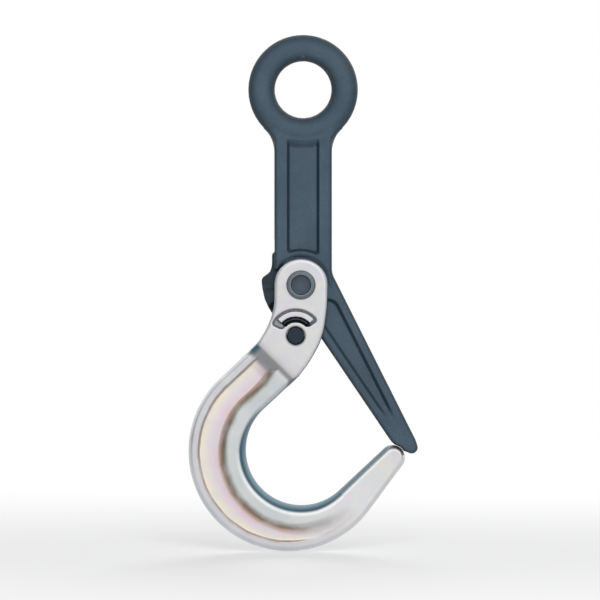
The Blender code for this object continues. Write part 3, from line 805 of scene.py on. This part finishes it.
def curve_points(key, steps=6):
    """A smooth run through key points."""
    made = []
    for i in range(len(key) - 1):
        p0, p1 = Vector(key[max(i - 1, 0)]), Vector(key[i])
        p2, p3 = Vector(key[i + 1]), Vector(key[min(i + 2, len(key) - 1)])
        for j in range(steps):
            t = j / steps
            a = 2 * p1 + (p2 - p0) * t
            b = (2 * p0 - 5 * p1 + 4 * p2 - p3) * t * t
            c = (3 * p1 - p0 - 3 * p2 + p3) * t**3
            made.append(tuple((a + b + c) / 2))
    return made + [tuple(key[-1])]


def make_load_pin(material):
    """A riveted head: a raised ring round a dished middle."""
    top = LOAD_PIN_END.y
    r = LOAD_PIN_END.x - LOAD_PIN[0]
    ring = [(0.0, top - 0.95), (r * 0.35, top - 0.9), (r * 0.60, top - 0.72), (r * 0.70, top - 0.12)]
    ring += [(r * 0.78, top), (r * 0.9, top - 0.2), (r * 0.985, top - 0.6)]
    end = curve_points(ring) + [(r, HEAD_HALF + 0.05), (LOAD_PIN_R, HEAD_HALF + 0.05)]
    mesh = turned_mesh("riveted_load_pin", mirrored(end), LOAD_PIN)
    layer = mesh.attributes.new("radius", "FLOAT", "POINT")
    radii = [hypot(v.co.x / MM - LOAD_PIN[0], v.co.z / MM - LOAD_PIN[1]) for v in mesh.vertices]
    layer.data.foreach_set("value", radii)
    piece(mesh, "hook", material, "load_pin")


def make_trigger_pin(material):
    """A plain pin with a rounded edge at each end."""
    reach = TRIGGER_PIN_END.y
    r = TRIGGER_PIN_R
    end = [(0.0, reach), (r - 1.0, reach)] + arc((r - 0.6, reach - 0.6), 0.6, 90.0, 0.0, 6)
    mesh = turned_mesh("drift_trigger_pin", mirrored(end), TRIGGER_PIN)
    piece(mesh, "hook", material, "trigger_pin")


# ---- materials ---------------------------------------------------------------------------------------


class Nodes:
    """Short calls for building a node tree."""

    def __init__(self, tree):
        self.tree = tree

    def add(self, kind, **settings):
        node = self.tree.nodes.new(kind)
        for key, value in settings.items():
            setattr(node, key, value)
        return node

    def link(self, source, target):
        self.tree.links.new(source, target)

    def put(self, socket, value):
        if isinstance(value, bpy.types.NodeSocket):
            self.link(value, socket)
        else:
            socket.default_value = value

    def ramp(self, value, *stops):
        node = self.add("ShaderNodeValToRGB")
        ramp = node.color_ramp
        while len(ramp.elements) < len(stops):
            ramp.elements.new(0.5)
        for element, (position, colour) in zip(ramp.elements, stops):
            element.position = position
            element.color = (*colour, 1.0)
        self.link(value, node.inputs["Fac"])
        return node.outputs["Color"]

    def spread(self, value, low, high, out_low=0.0, out_high=1.0, curve="LINEAR"):
        """The value's range from low to high, stretched onto the range from out_low to out_high."""
        node = self.add("ShaderNodeMapRange", interpolation_type=curve)
        node.inputs["From Min"].default_value = low
        node.inputs["From Max"].default_value = high
        node.inputs["To Min"].default_value = out_low
        node.inputs["To Max"].default_value = out_high
        self.link(value, node.inputs["Value"])
        return node.outputs["Result"]

    def mix(self, share, a, b):
        node = self.add("ShaderNodeMix", data_type="RGBA")
        self.put(node.inputs["Factor"], share)
        for socket, value in ((node.inputs[6], a), (node.inputs[7], b)):
            if isinstance(value, tuple):
                value = (*value, 1.0)
            self.put(socket, value)
        return node.outputs[2]

    def math(self, operation, a, b=0.0):
        node = self.add("ShaderNodeMath", operation=operation)
        self.put(node.inputs[0], a)
        self.put(node.inputs[1], b)
        return node.outputs["Value"]


class Material(Nodes):
    """A new material's node tree, with its shader and the place on the object."""

    def __init__(self, name):
        self.material = bpy.data.materials.new(name)
        self.material.use_nodes = True
        super().__init__(self.material.node_tree)
        self.shader = self.tree.nodes["Principled BSDF"]
        self.place = self.add("ShaderNodeTexCoord").outputs["Object"]

    def noise(self, per_mm, detail, rough=0.5, seed=0.0):
        mapping = self.add("ShaderNodeMapping")
        mapping.inputs["Scale"].default_value = (1.0 / MM, 1.0 / MM, 1.0 / MM)
        mapping.inputs["Location"].default_value = (seed, seed * 0.7, -seed)
        self.link(self.place, mapping.inputs["Vector"])
        node = self.add("ShaderNodeTexNoise")
        node.inputs["Scale"].default_value = per_mm
        node.inputs["Detail"].default_value = detail
        node.inputs["Roughness"].default_value = rough
        self.link(mapping.outputs["Vector"], node.inputs["Vector"])
        return node.outputs["Fac"]

    def bump(self, *layers):
        """Layers of (height value, distance in mm, strength), each on top of the last."""
        normal = None
        for height, distance, strength in layers:
            node = self.add("ShaderNodeBump")
            node.inputs["Distance"].default_value = distance * MM
            node.inputs["Strength"].default_value = strength
            self.link(height, node.inputs["Height"])
            if normal:
                self.link(normal, node.inputs["Normal"])
            normal = node.outputs["Normal"]
        self.link(normal, self.shader.inputs["Normal"])

    def mark(self, name):
        return self.add("ShaderNodeAttribute", attribute_name=name).outputs["Fac"]

    def pointiness(self):
        return self.add("ShaderNodeNewGeometry").outputs["Pointiness"]

    def facing(self):
        """1 where the surface faces along Y, 0 where it faces across."""
        normal = self.add("ShaderNodeTexCoord").outputs["Normal"]
        parts = self.add("ShaderNodeSeparateXYZ")
        self.link(normal, parts.inputs["Vector"])
        return self.math("ABSOLUTE", parts.outputs["Y"])

    def finish(self, colour, metallic, roughness):
        self.put(self.shader.inputs["Base Color"], colour)
        self.put(self.shader.inputs["Metallic"], metallic)
        self.put(self.shader.inputs["Roughness"], roughness)
        return self.material


PAINT_SPECK = (0.032, 0.05, 0.068)
PAINT_SIDE_SHADE = (0.008, 0.022, 0.030)
PAINT_WORN = (0.16, 0.2, 0.24)
PLAIN_ZINC = (0.72, 0.735, 0.73)
CALM_ZINC = (0.76, 0.76, 0.77)
SLOPE_SHADE = (0.37, 0.37, 0.39)
BEARING_BLUE = (0.070, 0.160, 0.210)
LIP_HIGHLIGHT = (0.95, 0.97, 0.92)
HOLLOW_SHADE_GREY = (0.12, 0.15, 0.16)
HOLLOW_SHADE_DARK = (0.05, 0.055, 0.06)
HEAD_SIDE_SHADE = (0.08, 0.16, 0.20)


def forging_paint():
    """Dark blue-grey paint, with painted shade on the sides and a little worn on the edges."""
    n = Material("forging_paint")
    broad = n.noise(0.06, 3.0)
    fine = n.noise(1.1, 5.0, 0.6)
    colour = n.ramp(broad, (0.3, (0.055, 0.083, 0.113)), (0.7, (0.074, 0.110, 0.143)))
    colour = n.mix(n.spread(fine, 0.35, 0.7, 0.0, 0.3), colour, PAINT_SPECK)
    # Painted shade: darker where the surface faces across rather than to the front.
    colour = n.mix(n.spread(n.facing(), 0.97, 0.45, 0.0, 0.72), colour, PAINT_SIDE_SHADE)
    worn = n.spread(n.pointiness(), 0.52, 0.60)
    colour = n.mix(n.math("MULTIPLY", worn, 0.25), colour, PAINT_WORN)
    roughness = n.spread(fine, 0.3, 0.7, 0.42, 0.56)
    n.bump((n.noise(0.5, 4.0), 0.12, 0.4), (fine, 0.04, 0.45))
    n.shader.inputs["Specular IOR Level"].default_value = 0.22
    return n.finish(colour, 0.0, roughness)


def zinc_plating():
    """Pale plating in faint tints, with bands along the groove that carry painted highlight and shade, a
    dark bearing edge with a painted highlight line beside it, and painted shade in the hollow, on the
    step's slope and on the head's sides.
    """
    n = Material("zinc_plating")
    broad = n.noise(0.05, 2.0, 0.5, seed=3.0)
    patch = n.noise(0.17, 3.0, 0.55, seed=9.0)
    pale = n.noise(0.11, 2.0, 0.5, seed=21.0)
    fine = n.noise(2.2, 4.0, 0.6)
    wander = n.math("MULTIPLY", n.math("SUBTRACT", patch, 0.5), 0.07)
    place = n.math("ADD", n.mark("section"), wander)
    tint = n.ramp(
        patch,
        (0.30, (0.82, 0.77, 0.70)),
        (0.46, (0.73, 0.74, 0.74)),
        (0.58, (0.75, 0.70, 0.76)),
        (0.72, (0.66, 0.74, 0.73)),
    )
    plain = n.mix(n.spread(broad, 0.35, 0.65, 0.35, 0.95), PLAIN_ZINC, tint)
    # The bands hold the plating's cream and pink tints, and painted light too: a dark line of painted shade
    # beside the rim, a painted highlight on the groove's outer wall and painted shade on its inner wall.
    bands_and_shade = n.ramp(
        place,
        (0.00, (0.60, 0.62, 0.66)),
        (0.15, (0.68, 0.68, 0.71)),
        (0.205, (0.46, 0.40, 0.38)),
        (0.25, (0.95, 0.88, 0.74)),
        (0.34, (0.89, 0.82, 0.73)),
        (0.44, (0.82, 0.69, 0.80)),
        (0.52, (0.80, 0.62, 0.56)),
        (0.58, (0.32, 0.24, 0.17)),
        (0.635, (0.40, 0.42, 0.38)),
        (0.70, (0.66, 0.69, 0.69)),
        (1.00, (0.62, 0.67, 0.71)),
    )
    calm = n.mix(0.6, bands_and_shade, CALM_ZINC)
    bands_and_shade = n.mix(n.spread(pale, 0.42, 0.62, 0.0, 0.85), bands_and_shade, calm)
    colour = n.mix(n.mark("groove"), plain, bands_and_shade)
    # Painted shade on the sloped step under the cheek.
    colour = n.mix(n.mark("slope"), colour, SLOPE_SHADE)
    colour = n.mix(n.math("MULTIPLY", n.mark("bearing"), 0.94), colour, BEARING_BLUE)
    # Painted highlight along the inner edge where it faces up.
    colour = n.mix(n.math("MULTIPLY", n.mark("lip"), 0.6), colour, LIP_HIGHLIGHT)
    # Painted shade in the arched hollow, deepest in its crescent, and in the gap round the trigger pin.
    colour = n.mix(n.spread(n.mark("hollow"), 0.25, 1.4, 0.0, 0.70), colour, HOLLOW_SHADE_GREY)
    colour = n.mix(n.spread(n.mark("hollow"), 1.6, 2.8, 0.0, 0.85), colour, HOLLOW_SHADE_DARK)
    # Painted shade on the head's sides, where the surface faces across.
    head_side_shade = n.math("MULTIPLY", n.spread(n.facing(), 0.66, 0.2), n.mark("head"))
    colour = n.mix(n.math("MULTIPLY", head_side_shade, 0.85), colour, HEAD_SIDE_SHADE)
    roughness = n.spread(fine, 0.3, 0.7, 0.32, 0.46)
    n.bump((n.noise(0.35, 3.0), 0.10, 0.35), (fine, 0.02, 0.4))
    return n.finish(colour, 1.0, roughness)


def pin_steel():
    """Dark in the dished middle, with a painted highlight line round it, a grey ring outside and painted
    shade at the head's rim.
    """
    n = Material("pin_steel")
    fine = n.noise(1.6, 4.0, 0.6)
    # The bright stop at 0.635 is a painted highlight on the ring's inner edge; the dark last stop is
    # painted shade at the head's rim.
    across = n.ramp(
        n.spread(n.mark("radius"), 0.0, 7.0),
        (0.00, (0.10, 0.125, 0.15)),
        (0.50, (0.07, 0.09, 0.115)),
        (0.60, (0.09, 0.11, 0.135)),
        (0.635, (0.30, 0.34, 0.36)),
        (0.68, (0.17, 0.20, 0.23)),
        (0.82, (0.18, 0.21, 0.24)),
        (0.88, (0.03, 0.04, 0.05)),
    )
    colour = n.mix(n.spread(fine, 0.3, 0.7, 0.0, 0.4), across, (0.05, 0.06, 0.08))
    n.bump((fine, 0.05, 0.5))
    return n.finish(colour, 0.9, n.spread(fine, 0.3, 0.7, 0.3, 0.5))


def dark_steel(name, low, high):
    """Darkened steel, mottled between two tones."""
    n = Material(name)
    fine = n.noise(1.4, 4.0, 0.6)
    n.bump((fine, 0.05, 0.5))
    return n.finish(n.ramp(fine, (0.3, low), (0.7, high)), 0.6, n.spread(fine, 0.3, 0.7, 0.4, 0.6))


def spring_steel():
    n = Material("spring_steel")
    fine = n.noise(3.0, 3.0)
    n.bump((fine, 0.02, 0.3))
    return n.finish(n.ramp(fine, (0.3, (0.25, 0.25, 0.27)), (0.7, (0.4, 0.4, 0.42))), 1.0, 0.3)


# ---- stage -------------------------------------------------------------------------------------------


# Lengths and places here are in metres, the sensor's width in millimetres and the lights in watts.
FLOOR_R = 6.0
FLOOR_GAP = 0.0004
MIDDLE = (0.0, 0.0, 0.11)
LIGHT_SIZE = (0.5, 0.4)
LIGHT_WATTS = 9.6
CAMERA_DISTANCE = 1.6
CAMERA_X = -0.0013
CAMERA_HEIGHT = 0.1054
SENSOR = 36.0
VIEW_PER_HEIGHT = 1.16392
WHITE = (1.0, 1.0, 1.0)


def make_stage():
    """A pale floor that fades to white far off. In reflections it is a light grey that partly glows."""
    under = (0.0, 0.0, cad_box[0].z - FLOOR_GAP)
    bpy.ops.mesh.primitive_circle_add(vertices=96, radius=FLOOR_R, fill_type="NGON", location=under)
    floor = bpy.context.object
    floor.name = "studio_floor"
    n = Material("studio_floor")
    path = n.add("ShaderNodeLightPath").outputs
    seen = path["Is Camera Ray"]
    tone = n.mix(seen, (0.50, 0.51, 0.52), (0.88, 0.885, 0.89))
    floor.data.materials.append(n.finish(tone, 0.0, 0.8))
    n.shader.inputs["Specular IOR Level"].default_value = 0.1
    output = n.tree.nodes["Material Output"]
    white = n.add("ShaderNodeEmission")
    white.inputs["Strength"].default_value = 1.0
    reach = n.add("ShaderNodeVectorMath", operation="LENGTH")
    n.link(n.place, reach.inputs[0])
    far = n.spread(reach.outputs["Value"], 0.10, 0.7, 0.5, 1.0)
    blend = n.add("ShaderNodeMixShader")
    mirrored_share = n.math("MULTIPLY", path["Is Glossy Ray"], 0.6)
    n.link(n.math("ADD", n.math("MULTIPLY", far, seen), mirrored_share), blend.inputs[0])
    n.link(n.shader.outputs[0], blend.inputs[1])
    n.link(white.outputs[0], blend.inputs[2])
    n.link(blend.outputs[0], output.inputs["Surface"])


def make_world():
    """A studio seen in reflections: bright to front and back, dark round the sides, brighter overhead.

    It is plain white to the camera, and gives little diffuse light."""
    world = bpy.data.worlds.new("studio")
    bpy.context.scene.world = world
    world.use_nodes = True
    n = Nodes(world.node_tree)
    parts = n.add("ShaderNodeSeparateXYZ")
    n.link(n.add("ShaderNodeTexCoord").outputs["Generated"], parts.inputs[0])
    x, y, z = parts.outputs
    depth = n.math("ABSOLUTE", y)

    def soft(value, low, high, out_low, out_high):
        return n.spread(value, low, high, out_low, out_high, "SMOOTHSTEP")

    front = soft(depth, 0.12, 0.80, 0.34, 1.03)
    over = n.math("MULTIPLY", soft(z, 0.05, 0.7, 0.0, 0.55), soft(depth, 0.0, 0.4, 1.0, 0.6))
    right = n.math("MULTIPLY", soft(x, 0.15, 0.75, 0.0, 0.30), soft(depth, 0.2, 0.7, 0.0, 1.0))
    left = soft(x, -0.85, -0.05, 0.80, 1.0)
    under = soft(z, -0.8, 0.0, 0.85, 1.0)
    bright = n.math("ADD", n.math("ADD", front, over), right)
    bright = n.math("MULTIPLY", n.math("MULTIPLY", bright, left), under)
    tone = n.mix(soft(bright, 0.1, 0.6, 0.0, 1.0), (0.62, 0.92, 1.15), WHITE)
    path = n.add("ShaderNodeLightPath").outputs
    shared = n.math("SUBTRACT", 1.0, n.math("MULTIPLY", path["Is Diffuse Ray"], 0.86))
    scaled = n.add("ShaderNodeVectorMath", operation="SCALE")
    n.link(tone, scaled.inputs[0])
    n.link(n.math("MULTIPLY", bright, shared), scaled.inputs["Scale"])
    shown = n.mix(path["Is Camera Ray"], scaled.outputs[0], WHITE)
    n.link(shown, n.tree.nodes["Background"].inputs["Color"])


def make_light(name, place):
    """A soft light aimed at the hook's middle, which doesn't show in reflections."""
    light = bpy.data.lights.new(name, "AREA")
    light.shape = "RECTANGLE"
    light.size, light.size_y = LIGHT_SIZE
    light.energy = LIGHT_WATTS
    thing = bpy.data.objects.new(name, light)
    thing.location = place
    thing.rotation_euler = (Vector(MIDDLE) - Vector(place)).to_track_quat("-Z", "Y").to_euler()
    bpy.context.scene.collection.objects.link(thing)
    thing.visible_camera = False
    thing.visible_glossy = False


def make_camera():
    """A camera square to the front, with a long lens that fits the hook and a margin."""
    low, high = cad_box
    camera = bpy.data.cameras.new("camera")
    camera.sensor_width = SENSOR
    camera.lens = SENSOR * CAMERA_DISTANCE / (VIEW_PER_HEIGHT * (high.z - low.z))
    thing = bpy.data.objects.new("camera", camera)
    thing.location = (CAMERA_X, -CAMERA_DISTANCE, low.z + CAMERA_HEIGHT)
    thing.rotation_euler = (pi / 2, 0.0, 0.0)
    bpy.context.scene.collection.objects.link(thing)
    bpy.context.scene.camera = thing


def main():
    paint = forging_paint()
    make_eye_latch(paint)
    make_hook(zinc_plating())
    make_load_pin(pin_steel())
    make_trigger_pin(dark_steel("dark_steel", (0.012, 0.022, 0.033), (0.028, 0.043, 0.060)))
    make_trigger(dark_steel("trigger_steel", (0.02, 0.03, 0.042), (0.04, 0.056, 0.075)))
    spring = frame["nodes"]["trigger_spring"]
    spring.data.materials.clear()
    spring.data.materials.append(spring_steel())
    make_stage()
    make_world()
    make_light("key", (0.10, -1.05, 0.46))
    make_light("back_key", (0.10, 1.05, 0.46))
    make_camera()
    bpy.context.scene.view_settings.view_transform = "Standard"


main()
